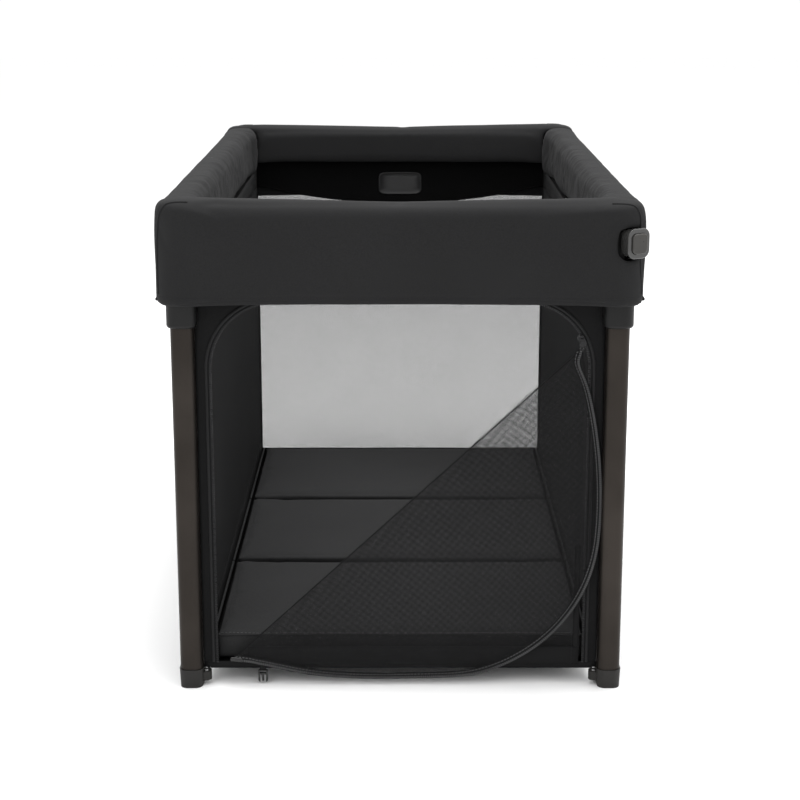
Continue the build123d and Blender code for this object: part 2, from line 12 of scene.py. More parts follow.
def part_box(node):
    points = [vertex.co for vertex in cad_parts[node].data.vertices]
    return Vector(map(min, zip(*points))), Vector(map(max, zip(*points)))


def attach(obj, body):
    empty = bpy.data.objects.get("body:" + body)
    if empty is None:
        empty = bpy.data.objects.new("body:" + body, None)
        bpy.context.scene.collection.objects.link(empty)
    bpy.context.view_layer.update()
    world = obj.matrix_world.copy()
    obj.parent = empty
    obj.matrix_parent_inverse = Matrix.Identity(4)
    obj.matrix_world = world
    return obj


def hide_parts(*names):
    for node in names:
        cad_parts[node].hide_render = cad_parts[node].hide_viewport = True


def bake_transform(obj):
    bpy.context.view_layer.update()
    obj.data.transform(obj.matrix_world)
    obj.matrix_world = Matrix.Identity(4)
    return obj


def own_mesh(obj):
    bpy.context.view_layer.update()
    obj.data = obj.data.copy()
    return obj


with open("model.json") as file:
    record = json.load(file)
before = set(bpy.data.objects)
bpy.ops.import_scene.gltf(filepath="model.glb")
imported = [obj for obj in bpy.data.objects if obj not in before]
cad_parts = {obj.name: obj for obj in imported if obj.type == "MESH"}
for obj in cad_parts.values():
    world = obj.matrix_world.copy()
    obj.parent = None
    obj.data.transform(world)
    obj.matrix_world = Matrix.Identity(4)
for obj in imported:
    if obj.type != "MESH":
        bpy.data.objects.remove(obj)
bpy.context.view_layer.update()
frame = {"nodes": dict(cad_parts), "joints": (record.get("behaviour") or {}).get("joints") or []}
scene = bpy.context.scene

MM = 0.001


# ---------------------------------------------------------------- meshes

def piece_from(name, points, faces, smooth=True):
    """A new object from points in metres and faces."""
    mesh = bpy.data.meshes.new(name)
    mesh.from_pydata([tuple(p) for p in points], [], [tuple(f) for f in faces])
    mesh.validate()
    mesh.update()
    if smooth:
        mesh.polygons.foreach_set("use_smooth", [True] * len(mesh.polygons))
    made = bpy.data.objects.new(name, mesh)
    scene.collection.objects.link(made)
    return made


def skin(name, grid, closed_v=False, caps=False):
    """A surface through a grid of points with shape (rows, columns, 3)."""
    grid = np.asarray(grid, float)
    rows, columns = grid.shape[:2]
    faces = []
    for i in range(rows - 1):
        for j in range(columns if closed_v else columns - 1):
            right, down = (j + 1) % columns, i + 1
            faces.append((i * columns + j, i * columns + right, down * columns + right, down * columns + j))
    if caps:
        faces.append(tuple(range(columns - 1, -1, -1)))
        faces.append(tuple((rows - 1) * columns + j for j in range(columns)))
    return piece_from(name, grid.reshape(-1, 3), faces)


def join_into(name, pieces):
    """One object from several."""
    for made in bpy.context.selected_objects:
        made.select_set(False)
    for made in pieces:
        made.select_set(True)
    bpy.context.view_layer.objects.active = pieces[0]
    bpy.ops.object.join()
    joined = bpy.context.view_layer.objects.active
    joined.name = name
    joined.data.name = name
    return joined


def settle(made):
    """Turn an object's modifiers into its mesh."""
    bpy.context.view_layer.update()
    depsgraph = bpy.context.evaluated_depsgraph_get()
    mesh = bpy.data.meshes.new_from_object(made.evaluated_get(depsgraph))
    made.modifiers.clear()
    made.data = mesh
    mesh.polygons.foreach_set("use_smooth", [True] * len(mesh.polygons))
    return made


def modify(made, kind, **values):
    """Add one modifier with its settings."""
    modifier = made.modifiers.new(kind, kind)
    for key, value in values.items():
        setattr(modifier, key, value)
    return modifier


def thicken(made, thickness):
    """Give a sheet a thickness, half to each side."""
    modify(made, "SOLIDIFY", thickness=thickness, offset=0.0, use_rim=True)
    return settle(made)


def coordinates(mesh):
    """All of a mesh's points as an array."""
    flat = np.empty(len(mesh.vertices) * 3)
    mesh.vertices.foreach_get("co", flat)
    return flat.reshape(-1, 3)


def normals(mesh):
    """All of a mesh's point normals as an array."""
    flat = np.empty(len(mesh.vertices) * 3)
    mesh.vertices.foreach_get("normal", flat)
    return flat.reshape(-1, 3)


def reshape(made, points):
    """Give a mesh new points."""
    made.data.vertices.foreach_set("co", np.asarray(points, float).ravel())
    made.data.update()
    return made


def ripple(made, depth, waves, seed=0.0, where=None, lean=0.0):
    """Push points along their normals by smooth noise with so many waves a metre each way."""
    points, outward = coordinates(made.data), normals(made.data)
    leaning = points.copy()
    leaning[:, 1] += lean * (points[:, 2] + 0.02 * np.sin(points[:, 1] * 31))
    leaning = leaning * np.array(waves, float) + seed
    push = np.array([noise.noise(Vector(p)) for p in leaning]) * depth
    if where is not None:
        push = push * where(points)
    return reshape(made, points + outward * push[:, None])


def cad_copy(name, node_name):
    """A new object with a CAD node's mesh."""
    source = frame["nodes"][node_name]
    made = bpy.data.objects.new(name, source.data.copy())
    made.data.materials.clear()
    scene.collection.objects.link(made)
    made.data.transform(source.matrix_world)
    return made


def outline(node_name, facing):
    """The ordered outer edge of a CAD node's flat face on one side."""
    source = frame["nodes"][node_name]
    shape = bmesh.new()
    shape.from_mesh(source.data)
    shape.transform(source.matrix_world)
    bmesh.ops.remove_doubles(shape, verts=shape.verts[:], dist=1e-5)
    shape.normal_update()
    flat = {face for face in shape.faces if face.normal.dot(Vector(facing)) > 0.9}
    rim = [edge for edge in shape.edges if sum(face in flat for face in edge.link_faces) == 1]
    beside = {}
    for edge in rim:
        for here, there in (edge.verts, reversed(edge.verts)):
            beside.setdefault(here, []).append(there)
    start = min(beside, key=lambda vertex: tuple(vertex.co))
    chain, before = [start], None
    while True:
        onward = [vertex for vertex in beside[chain[-1]] if vertex is not before]
        if not onward or onward[0] is start or len(chain) > len(beside):
            break
        before = chain[-1]
        chain.append(onward[0])
    points = np.array([tuple(vertex.co) for vertex in chain])
    shape.free()
    return points


def onto(made, points, lift):
    """The nearest places on a piece's surface, lifted off it."""
    placed = []
    for point in points:
        _, where, outward, _ = made.closest_point_on_mesh(Vector(point))
        placed.append(where + outward * lift)
    return np.array([tuple(p) for p in placed])


CLOTH_FRAMES = 20
CLOTH_SETTINGS = dict(
    quality=4, mass=0.3, tension_stiffness=12, compression_stiffness=12, shear_stiffness=6,
    bending_stiffness=0.4, use_pressure=True,
)


def puff(made, pressure, cap, voxel=0.005, smooth=6):
    """Remesh a closed shape and swell it as cloth under pressure, moving no point further than cap."""
    modify(made, "REMESH", mode="VOXEL", voxel_size=voxel)
    modify(made, "SMOOTH", factor=0.5, iterations=smooth)
    settle(made)
    start = coordinates(made.data)
    cloth = modify(made, "CLOTH")
    for key, value in CLOTH_SETTINGS.items():
        setattr(cloth.settings, key, value)
    cloth.settings.uniform_pressure_force = pressure
    cloth.settings.effector_weights.gravity = 0
    cloth.point_cache.frame_start = 1
    cloth.point_cache.frame_end = CLOTH_FRAMES
    for step in range(1, CLOTH_FRAMES + 1):
        scene.frame_set(step)
    depsgraph = bpy.context.evaluated_depsgraph_get()
    swollen = coordinates(made.evaluated_get(depsgraph).data)
    made.modifiers.clear()
    moved = swollen - start
    length = np.linalg.norm(moved, axis=1, keepdims=True)
    moved = moved * np.minimum(1, cap / np.maximum(length, 1e-9))
    reshape(made, start + moved)
    scene.frame_set(1)
    modify(made, "SMOOTH", factor=0.4, iterations=2)
    modify(made, "SUBSURF", levels=1, render_levels=1)
    return settle(made)


def unit(vectors):
    """Vectors made one long, unless they have next to no length."""
    return vectors / np.maximum(np.linalg.norm(vectors, axis=-1, keepdims=True), 1e-6)


def relax(line, passes):
    """Smooth a line between its two ends."""
    for _ in range(passes):
        line[1:-1] = (line[:-2] + 2 * line[1:-1] + line[2:]) / 4
    return line


def boxy(share, power):
    """A sine or cosine bent so that a ring drawn with it is a box with round corners."""
    return math.copysign(abs(share) ** power, share)


def along(points, spacing):
    """Points and directions at even spacing along a line."""
    points = np.asarray(points, float)
    steps = np.linalg.norm(np.diff(points, axis=0), axis=1)
    reached = np.concatenate([[0], np.cumsum(steps)])
    count = max(2, int(round(reached[-1] / spacing)) + 1)
    places = np.linspace(0, reached[-1], count)
    found = np.stack([np.interp(places, reached, points[:, k]) for k in range(3)], axis=1)
    return found, unit(np.gradient(found, axis=0))


def tube(name, points, radius, sides=8, flat=1.0, up=(0, 1, 0)):
    """A round or flattened tube along a line; flat is its thickness along up, as a share of its width."""
    points = np.asarray(points, float)
    heading = unit(np.gradient(points, axis=0))
    across = unit(np.cross(heading, np.array(up, float)))
    lift = np.cross(across, heading)
    turns = np.linspace(0, 2 * math.pi, sides, endpoint=False)
    ring = across[:, None] * np.cos(turns)[None, :, None]
    ring = ring + lift[:, None] * np.sin(turns)[None, :, None] * flat
    return skin(name, points[:, None] + ring * radius, closed_v=True, caps=True)


def beads(name, points, spacing, size, up=(0, 1, 0)):
    """Small bevelled blocks set along a line, as zip teeth and stitches are; size is along, across, up."""
    found, heading = along(points, spacing)
    across = unit(np.cross(heading, np.array(up, float)))
    lift = np.cross(across, heading)
    half = np.array(size, float) / 2
    corners = []
    for side in (-1, 1):
        for a, b in ((-1, -1), (1, -1), (1, 1), (-1, 1)):
            corners.append((side * half[0], a * half[1] * 0.8, b * half[2] * 0.8))
    middle = [(0, a * half[1], b * half[2]) for a, b in ((-1, -1), (1, -1), (1, 1), (-1, 1))]
    local = np.array(corners[:4] + middle + corners[4:])
    axes = np.stack([heading, across, lift], axis=1)
    block = found[:, None] + np.einsum("ka,nac->nkc", local, axes)
    faces = []
    for base in range(0, len(found) * 12, 12):
        faces.append([base + k for k in (3, 2, 1, 0)])
        faces.append([base + k for k in (8, 9, 10, 11)])
        for ring in (base, base + 4):
            for k in range(4):
                after = (k + 1) % 4
                faces.append([ring + k, ring + after, ring + after + 4, ring + k + 4])
    return piece_from(name, block.reshape(-1, 3), faces, smooth=False)


# ---------------------------------------------------------------- materials

def nodes_of(name):
    """A new material, its node tree and its main shader."""
    material = bpy.data.materials.new(name)
    material.use_nodes = True
    tree = material.node_tree
    return material, tree, tree.nodes["Principled BSDF"]


def node(tree, kind, **values):
    """A new node with its properties and its inputs' values."""
    made = tree.nodes.new(kind)
    for key, value in values.items():
        if hasattr(made, key) and key not in ("inputs", "outputs"):
            setattr(made, key, value)
        else:
            made.inputs[key.replace("_", " ")].default_value = value
    return made


def math_node(tree, operation, a, b=None):
    """A math node on links or numbers."""
    made = tree.nodes.new("ShaderNodeMath")
    made.operation = operation
    for slot_index, value in enumerate((a, b)):
        if value is None:
            continue
        if isinstance(value, (int, float)):
            made.inputs[slot_index].default_value = value
        else:
            tree.links.new(value, made.inputs[slot_index])
    return made.outputs[0]


def colour_by(tree, shader, value, dark, light, low=0.0, high=1.0):
    """Colour a shader from dark to light as a value goes from low to high."""
    shade = tree.nodes.new("ShaderNodeValToRGB")
    first, last = shade.color_ramp.elements
    first.position, last.position = low, high
    first.color, last.color = (*dark, 1), (*light, 1)
    tree.links.new(value, shade.inputs["Fac"])
    tree.links.new(shade.outputs["Color"], shader.inputs["Base Color"])


def rough_by(tree, shader, value, low, high):
    """Let a shader's roughness follow a noise from low to high."""
    span = node(tree, "ShaderNodeMapRange", From_Min=0.3, From_Max=0.7, To_Min=low, To_Max=high)
    tree.links.new(value, span.inputs["Value"])
    tree.links.new(span.outputs["Result"], shader.inputs["Roughness"])


def bump_by(tree, shader, height, strength, distance, invert=False):
    """Raise a shader's surface by a height."""
    bump = node(tree, "ShaderNodeBump", Strength=strength, Distance=distance)
    bump.invert = invert
    tree.links.new(height, bump.inputs["Height"])
    tree.links.new(bump.outputs["Normal"], shader.inputs["Normal"])


def weave_height(tree, place, thread):
    """Height of a plain weave with so wide a thread, on any face that stands square to an axis."""
    total = None
    for direction in ("X", "Y", "Z"):
        wave = tree.nodes.new("ShaderNodeTexWave")
        wave.wave_type = "BANDS"
        wave.bands_direction = direction
        wave.inputs["Scale"].default_value = 2 * math.pi / (20 * 2 * thread)
        wave.inputs["Distortion"].default_value = 0.6
        wave.inputs["Detail"].default_value = 0
        tree.links.new(place, wave.inputs["Vector"])
        total = wave.outputs["Fac"] if total is None else math_node(tree, "ADD", total, wave.outputs["Fac"])
    return total


def cloth_material(name, dark, light, thread=0.6 * MM, weave=0.35, sheen=0.0, gloss=0.12):
    """Woven polyester: fine threads, faint shade changes and a soft sheen."""
    material, tree, shader = nodes_of(name)
    place = tree.nodes.new("ShaderNodeTexCoord").outputs["Object"]
    patches = node(tree, "ShaderNodeTexNoise", Scale=6.0, Detail=3.0)
    fibres = node(tree, "ShaderNodeTexNoise", Scale=900.0, Detail=2.0)
    for texture in (patches, fibres):
        tree.links.new(place, texture.inputs["Vector"])
    blend_by = math_node(tree, "MULTIPLY_ADD", patches.outputs["Fac"], 0.6)
    tree.links.new(fibres.outputs["Fac"], blend_by.node.inputs[2])
    colour_by(tree, shader, blend_by, dark, light, low=0.45)
    height = math_node(tree, "MULTIPLY_ADD", weave_height(tree, place, thread), 0.5)
    tree.links.new(fibres.outputs["Fac"], height.node.inputs[2])
    bump_by(tree, shader, height, weave, thread * 0.5)
    rough_by(tree, shader, patches.outputs["Fac"], 0.84, 0.96)
    shader.inputs["Sheen Weight"].default_value = sheen
    shader.inputs["Sheen Roughness"].default_value = 0.45
    shader.inputs["Specular IOR Level"].default_value = gloss
    return material


def net_material(name, colour, pitch, open_share, turn=0.0):
    """Knitted netting: round see-through holes on a staggered grid turned by an angle."""
    material, tree, shader = nodes_of(name)
    turned = node(tree, "ShaderNodeMapping")
    turned.inputs["Rotation"].default_value = (0, turn, 0)
    tree.links.new(tree.nodes.new("ShaderNodeTexCoord").outputs["Object"], turned.inputs["Vector"])
    place = turned.outputs[0]
    parts = tree.nodes.new("ShaderNodeSeparateXYZ")
    tree.links.new(place, parts.inputs[0])
    wave_number = 2 * math.pi / pitch
    first = math_node(tree, "MULTIPLY", parts.outputs["X"], wave_number)
    second = math_node(tree, "MULTIPLY", parts.outputs["Z"], wave_number)
    ups = math_node(tree, "COSINE", math_node(tree, "ADD", first, second))
    downs = math_node(tree, "COSINE", math_node(tree, "SUBTRACT", first, second))
    field = math_node(tree, "ADD", ups, downs)
    # a sum of two cosines is above this level over open_share of the plane
    grid = np.linspace(0, 2 * math.pi, 200, endpoint=False)
    level = float(np.quantile(np.cos(grid)[:, None] + np.cos(grid)[None, :], 1 - open_share))
    hole = node(tree, "ShaderNodeMapRange", From_Min=level - 0.12, From_Max=level + 0.12)
    tree.links.new(field, hole.inputs["Value"])
    bump_by(tree, shader, field, 0.6, 0.3 * MM, invert=True)
    patches = node(tree, "ShaderNodeTexNoise", Scale=7.0, Detail=2.0)
    tree.links.new(place, patches.inputs["Vector"])
    darker, lighter = ([channel * share for channel in colour] for share in (0.8, 1.2))
    colour_by(tree, shader, patches.outputs["Fac"], darker, lighter)
    shader.inputs["Roughness"].default_value = 0.8
    shader.inputs["Specular IOR Level"].default_value = 0.08
    clear = tree.nodes.new("ShaderNodeBsdfTransparent")
    mixed = tree.nodes.new("ShaderNodeMixShader")
    tree.links.new(hole.outputs["Result"], mixed.inputs["Fac"])
    tree.links.new(shader.outputs[0], mixed.inputs[1])
    tree.links.new(clear.outputs[0], mixed.inputs[2])
    tree.links.new(mixed.outputs[0], tree.nodes["Material Output"].inputs["Surface"])
    return material


def hard_material(name, dark, light, rough, metal=0.0, grain=400.0, coat=0.0, stretch=(1, 1, 1), gloss=0.5):
    """Moulded plastic or metal: fine grain, small shade and gloss changes."""
    material, tree, shader = nodes_of(name)
    place = tree.nodes.new("ShaderNodeTexCoord").outputs["Object"]
    mapped = node(tree, "ShaderNodeMapping")
    mapped.inputs["Scale"].default_value = stretch
    tree.links.new(place, mapped.inputs["Vector"])
    fine = node(tree, "ShaderNodeTexNoise", Scale=grain, Detail=3.0)
    wide = node(tree, "ShaderNodeTexNoise", Scale=9.0, Detail=2.0)
    tree.links.new(mapped.outputs[0], fine.inputs["Vector"])
    tree.links.new(place, wide.inputs["Vector"])
    colour_by(tree, shader, wide.outputs["Fac"], dark, light, low=0.35, high=0.65)
    rough_by(tree, shader, fine.outputs["Fac"], rough - 0.05, rough + 0.07)
    bump_by(tree, shader, fine.outputs["Fac"], 0.25, 0.05 * MM)
    shader.inputs["Metallic"].default_value = metal
    shader.inputs["Specular IOR Level"].default_value = gloss
    shader.inputs["Coat Weight"].default_value = coat
    shader.inputs["Coat Roughness"].default_value = 0.2
    return material


COVER_CLOTH = cloth_material("cover_cloth", (0.0110, 0.0110, 0.0113), (0.0182, 0.0182, 0.0187), sheen=0.02)
WALL_CLOTH = cloth_material("wall_cloth", (0.005, 0.005, 0.0052), (0.010, 0.010, 0.0103))
# painted shade: the far wall's border is the wall cloth made darker, for the shade inside the pen
FAR_CLOTH_PAINTED_SHADE = cloth_material("far_wall_cloth_painted_shade", (0.0015, 0.0015, 0.0016), (0.0035, 0.0035, 0.0036), gloss=0.06)
MATTRESS_CLOTH = cloth_material(
    "mattress_cloth", (0.0175, 0.0175, 0.0178), (0.030, 0.030, 0.0305), thread=0.0009, weave=0.6
)
PIPING_CLOTH = cloth_material("piping_cloth", (0.011, 0.011, 0.0113), (0.020, 0.020, 0.0205), sheen=0.05)
TAPE_CLOTH = cloth_material("zip_tape_cloth", (0.006, 0.006, 0.0062), (0.012, 0.012, 0.0125), thread=0.0004)
TEETH_NYLON = hard_material("zip_teeth_nylon", (0.030, 0.030, 0.031), (0.052, 0.052, 0.053), 0.4, grain=900)
THREAD = cloth_material("stitch_thread", (0.012, 0.012, 0.0125), (0.026, 0.026, 0.027), thread=0.0002)
DOOR_NET = net_material("door_net", (0.0165, 0.0165, 0.0169), 0.0019, 0.60)
FLAP_NET = net_material("flap_net", (0.0165, 0.0165, 0.0169), 0.0019, 0.60, turn=math.radians(9))
WINDOW_NET = net_material("window_net", (0.010, 0.010, 0.0103), 0.0017, 0.255)
SIDE_NET = cloth_material("side_net", (0.014, 0.014, 0.0143), (0.026, 0.026, 0.0265), thread=0.0004)
LEG_METAL = hard_material(
    "leg_anodised", (0.0280, 0.0240, 0.0210), (0.0370, 0.0318, 0.0280), 0.42, metal=0.9, grain=260,
    stretch=(6, 6, 0.4), gloss=0.2,
)
HUB_PLASTIC = hard_material(
    "hub_plastic", (0.0045, 0.0045, 0.0045), (0.008, 0.008, 0.008), 0.42, gloss=0.22
)
FOOT_PLASTIC = hard_material(
    "foot_plastic", (0.013, 0.0122, 0.0112), (0.020, 0.0187, 0.017), 0.5, gloss=0.25
)
BEZEL_PLASTIC = hard_material("bezel_plastic", (0.022, 0.022, 0.0215), (0.034, 0.034, 0.033), 0.2, coat=0.5)
BUTTON_PLASTIC = hard_material(
    "button_paint", (0.036, 0.035, 0.0325), (0.052, 0.050, 0.047), 0.32, metal=0.5
)
GLOSS_PLASTIC = hard_material(
    "buckle_plastic", (0.006, 0.006, 0.006), (0.010, 0.010, 0.010), 0.22, coat=0.1, gloss=0.35
)
RAIL_METAL = hard_material(
    "rail_aluminium", (0.42, 0.42, 0.43), (0.56, 0.56, 0.57), 0.35, metal=1.0, grain=300,
    stretch=(1, 0.05, 1),
)
PIN_STEEL = hard_material("pin_steel", (0.45, 0.45, 0.45), (0.6, 0.6, 0.6), 0.25, metal=1.0)
ZIP_METAL = hard_material("zip_metal", (0.012, 0.012, 0.0125), (0.022, 0.022, 0.023), 0.28, metal=0.6)
PATCH_RUBBER = hard_material(
    "patch_rubber", (0.0025, 0.0025, 0.0028), (0.0045, 0.0045, 0.005), 0.35, grain=700
)


def finish_piece(made, material, body=None, replaces=()):
    """Give a piece its material, body and the CAD nodes it stands for."""
    made.data.materials.clear()
    made.data.materials.append(material)
    if body:
        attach(made, body)
    if replaces:
        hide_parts(*replaces)
    return made


def coat(nodes, material):
    """Give CAD nodes that stay a better material."""
    for name in nodes:
        shown = frame["nodes"][name]
        shown.data.materials.clear()
        shown.data.materials.append(material)


ENDS = ("near", "far")
SIDES = ("left", "right")
corners = [f"{end}_{side}" for end in ENDS for side in SIDES]
rails = [f"{side}_{end}_rail" for side in SIDES for end in ENDS]
coat([f"{corner}_leg" for corner in corners], LEG_METAL)
coat([f"{corner}_hub" for corner in corners] + [f"{rail}_fittings" for rail in rails], HUB_PLASTIC)
coat([f"{corner}_foot" for corner in corners], FOOT_PLASTIC)
coat([f"{end}_button_bezel" for end in ENDS], BEZEL_PLASTIC)
coat([f"{end}_release_button" for end in ENDS], BUTTON_PLASTIC)
coat([f"{end}_end_rail" for end in ENDS] + [f"{rail}_tube" for rail in rails], RAIL_METAL)
coat([f"{end}_hub_pins" for end in ENDS] + [f"{side}_centre_pin" for side in SIDES], PIN_STEEL)
coat([f"{end}_foot_screws" for end in ENDS] + [f"{end}_button_spring" for end in ENDS], PIN_STEEL)
coat(["zip_slider", "zip_pull"], ZIP_METAL)
coat(["buckle_male"], GLOSS_PLASTIC)

# ---------------------------------------------------------------- places, from the frame

cover_low, cover_high = (np.array(p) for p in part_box("near_end_cover"))
sleeve_low, sleeve_high = (np.array(p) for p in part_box("right_near_sleeve"))
border_low, border_high = (np.array(p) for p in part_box("near_wall_border"))
chain_low, chain_high = (np.array(p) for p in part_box("frame_zip_chain"))
panel_low, panel_high = (np.array(p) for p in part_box("door_lower_panel"))
window_low, window_high = (np.array(p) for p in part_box("far_wall_mesh"))
far_low, far_high = (np.array(p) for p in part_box("far_wall_border"))
patch_low, patch_high = (np.array(p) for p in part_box("far_wall_patch"))
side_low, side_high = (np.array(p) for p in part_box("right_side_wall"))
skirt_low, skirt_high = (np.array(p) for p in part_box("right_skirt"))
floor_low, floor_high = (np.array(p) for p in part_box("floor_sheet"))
joints = {joint["name"]: joint for joint in frame["joints"]}
fold_point = np.array(joints["door_fold"]["pos_m"])
fold_axis = -np.array(joints["door_fold"]["axis"])
wall_y = (border_low[1] + border_high[1]) / 2
flap_y = -abs(2 * fold_point[1] - wall_y)
arch_centre = np.array(joints["zip_slide"]["pos_m"])

# ---------------------------------------------------------------- padded end covers

COVER_SWELL = 3 * MM
# padding draws the end covers in between their corners, to this share of their width
COVER_DRAW = 0.982
COVER_RADIUS = 38 * MM
COVER_SINK = 4 * MM
STITCH_PITCH = 4.2 * MM
STITCH_SIZE = (2.8 * MM, 0.7 * MM, 0.7 * MM)
TOOTH_PITCH = 3.2 * MM
TOOTH_SIZE = (1.9 * MM, 3.6 * MM, 2.4 * MM)


def end_cover(end):
    """The padded cover over one end rail, with its hem binding and stitches."""
    sign = -1 if end == "near" else 1
    cover = cad_copy(f"{end}_cover", f"{end}_end_cover")
    puff(cover, pressure=3.0, cap=COVER_SWELL, voxel=0.0055)
    middle = (cover_low[2] + cover_high[2]) / 2

    def droop(points):
        """The top sinks a little between the corners and the hem rises a little at the middle."""
        share = np.clip(1 - (points[:, 0] / cover_high[0]) ** 2, 0, 1)
        up = np.clip((points[:, 2] - middle) / (cover_high[2] - middle), -1, 1)
        return points - np.stack([0 * share, 0 * share, share * COVER_SINK * up], axis=1)

    reshape(cover, droop(coordinates(cover.data)) * np.array((COVER_DRAW, 1, 1)))
    ripple(cover, 0.9 * MM, (6, 9, 12), seed=3.1 * sign)
    ripple(cover, 0.6 * MM, (40, 40, 26), seed=7.7, where=lambda p: (np.abs(p[:, 0]) > 0.28) * 1.0)
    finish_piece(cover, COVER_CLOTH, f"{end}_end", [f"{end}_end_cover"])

    radius = COVER_RADIUS
    wide, out = cover_high[0] * COVER_DRAW, abs(cover_low[1])
    hem_z = cover_low[2] + 1 * MM
    turns = np.linspace(0, math.pi / 2, 10)
    line = [(-wide, abs(cover_high[1]) + 2 * MM)]
    line += [(-wide + radius - radius * math.cos(t), out - radius + radius * math.sin(t)) for t in turns]
    line += [(wide - radius + radius * math.sin(t), out - radius + radius * math.cos(t)) for t in turns]
    line += [(wide, abs(cover_high[1]) + 2 * MM)]

    def path(z, inset=0.0):
        points = []
        for x, y in line:
            rise = COVER_SINK * max(0, 1 - (x / wide) ** 2)
            points.append((x * (1 - inset / wide), sign * (y - inset), z + rise))
        found, _ = along(points, 6 * MM)
        return found

    hem_line = relax(onto(cover, path(hem_z + 4 * MM, 1 * MM), -3 * MM), 12)
    binding = tube(f"{end}_hem_binding", hem_line, 3.8 * MM, sides=10, flat=1.5, up=(0, 0, 1))
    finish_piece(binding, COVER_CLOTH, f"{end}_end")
    seam_line = onto(cover, path(hem_z + 13 * MM), 0.1 * MM)
    seam = beads(f"{end}_hem_stitches", seam_line, STITCH_PITCH, STITCH_SIZE, up=(0, 0, 1))
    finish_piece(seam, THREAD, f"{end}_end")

    # a curved seam with piping closes each rounded corner
    seam_low = hem_z + 16 * MM
    seam_tall = cover_high[2] - hem_z - 12 * MM
    for side in (-1, 1):
        corner = []
        for turn in np.linspace(0, math.pi / 2, 46):
            corner.append((
                side * (wide - 52 * MM + 49 * MM * math.sin(turn)),
                sign * (out - 20 * MM + 10 * MM * math.cos(turn)),
                seam_low + seam_tall * max(math.cos(turn), 0) ** 0.35 * (turn < math.pi / 2),
            ))
        piping = tube(f"{end}_corner_piping_{'lr'[side > 0]}", onto(cover, corner, 0.2 * MM), 1.5 * MM)
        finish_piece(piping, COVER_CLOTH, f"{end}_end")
    return cover


for end_name in ENDS:
    end_cover(end_name)

# ---------------------------------------------------------------- padded side sleeves and skirts

SLEEVE_END = 486 * MM
SLEEVE_IN = 299.5 * MM
SLEEVE_OUT = 352 * MM
SLEEVE_RISE = 12 * MM
SLEEVE_FLARE = 10 * MM
SLEEVE_DROP = 16 * MM
SKIRT_END = 468 * MM


def side_sleeve(side):
    """The padded sleeve over both half rails of a side, which meet at the middle hinge."""
    sign = -1 if side == "left" else 1
    low_z, high_z = sleeve_low[2] - SLEEVE_DROP, sleeve_high[2] + SLEEVE_RISE
    centre_x = sign * (SLEEVE_IN + SLEEVE_OUT) / 2
    centre_z = (low_z + high_z) / 2
    half_x = (SLEEVE_OUT - SLEEVE_IN) / 2 - 1.5 * MM
    half_z = (high_z - low_z) / 2 - 1.5 * MM
    rows = []
    for y in np.linspace(-SLEEVE_END, SLEEVE_END, 60):
        ring = []
        pinch = 1 - 0.10 * math.exp(-((abs(y) - SLEEVE_END) / 0.02) ** 2)
        near_end = min(max((abs(y) - 0.395) / 0.05, 0), 1)
        flare = SLEEVE_FLARE * near_end ** 2 * (3 - 2 * near_end)
        for turn in np.linspace(0, 2 * math.pi, 28, endpoint=False):
            c, s = math.cos(turn), math.sin(turn)
            x = boxy(c, 0.36) * (half_x * pinch + flare / 2) - sign * flare / 2
            z = boxy(s, 0.36) * half_z * pinch
            ring.append((centre_x + x, y, centre_z + z))
        rows.append(ring)
    sleeve = skin(f"{side}_sleeve", rows, closed_v=True, caps=True)
    puff(sleeve, pressure=4.0, cap=4 * MM, voxel=0.006)

    def inner(points):
        """Wrinkles are strongest on the inner face."""
        return np.clip((0.335 - np.abs(points[:, 0])) / 0.03, 0.2, 1)

    ripple(sleeve, 3.0 * MM, (9, 11, 14), seed=11 + sign, where=inner, lean=0.5)
    ripple(sleeve, 1.9 * MM, (16, 30, 22), seed=17 + sign, where=inner, lean=-0.9)
    ripple(sleeve, 1.0 * MM, (34, 62, 44), seed=23 + sign, where=inner, lean=0.8)
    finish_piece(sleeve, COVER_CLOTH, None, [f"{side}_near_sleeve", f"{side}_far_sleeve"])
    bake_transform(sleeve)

    skirt_x = skirt_high[0] - 1 * MM
    lengths = np.linspace(-SKIRT_END, SKIRT_END, 160)
    heights = np.linspace(skirt_low[2], skirt_high[2] + 22 * MM, 14)
    grid = []
    for y in lengths:
        column = []
        for z in heights:
            low = (skirt_high[2] - z) / (skirt_high[2] - skirt_low[2])
            wave = 2.4 * MM * noise.noise(Vector((y * 16, z * 7, 4.2 * sign)))
            column.append((sign * (skirt_x + wave * max(low, 0.15)), y, z))
        grid.append(column)
    skirt = skin(f"{side}_hanging_skirt", grid)
    thicken(skirt, 2.2 * MM)
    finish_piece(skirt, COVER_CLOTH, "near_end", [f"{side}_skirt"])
    hem_points = [(sign * skirt_x, y, skirt_low[2] + 1 * MM) for y in lengths]
    hem = tube(f"{side}_skirt_binding", hem_points, 3.4 * MM, sides=10, flat=0.8, up=(0, 0, 1))
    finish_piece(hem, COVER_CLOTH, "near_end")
    return skirt, hem


# how far the wall's cloth reaches past its CAD solid, and the zip and the slider past the CAD flap
LEG_GAP = 8.5 * MM
ZIP_REACH = 6.5 * MM
SLIDER_REACH = 12 * MM


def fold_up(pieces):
    """Give each wall piece a mesh of its own."""
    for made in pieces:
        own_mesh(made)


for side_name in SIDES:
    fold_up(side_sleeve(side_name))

# ---------------------------------------------------------------- side walls: a real net between bands

NET_PITCH = 2.4 * MM
NET_THREAD = 0.75 * MM
NET_DEPTH = 1.1 * MM
BAND_LOW = 60 * MM
BAND_END = 22 * MM


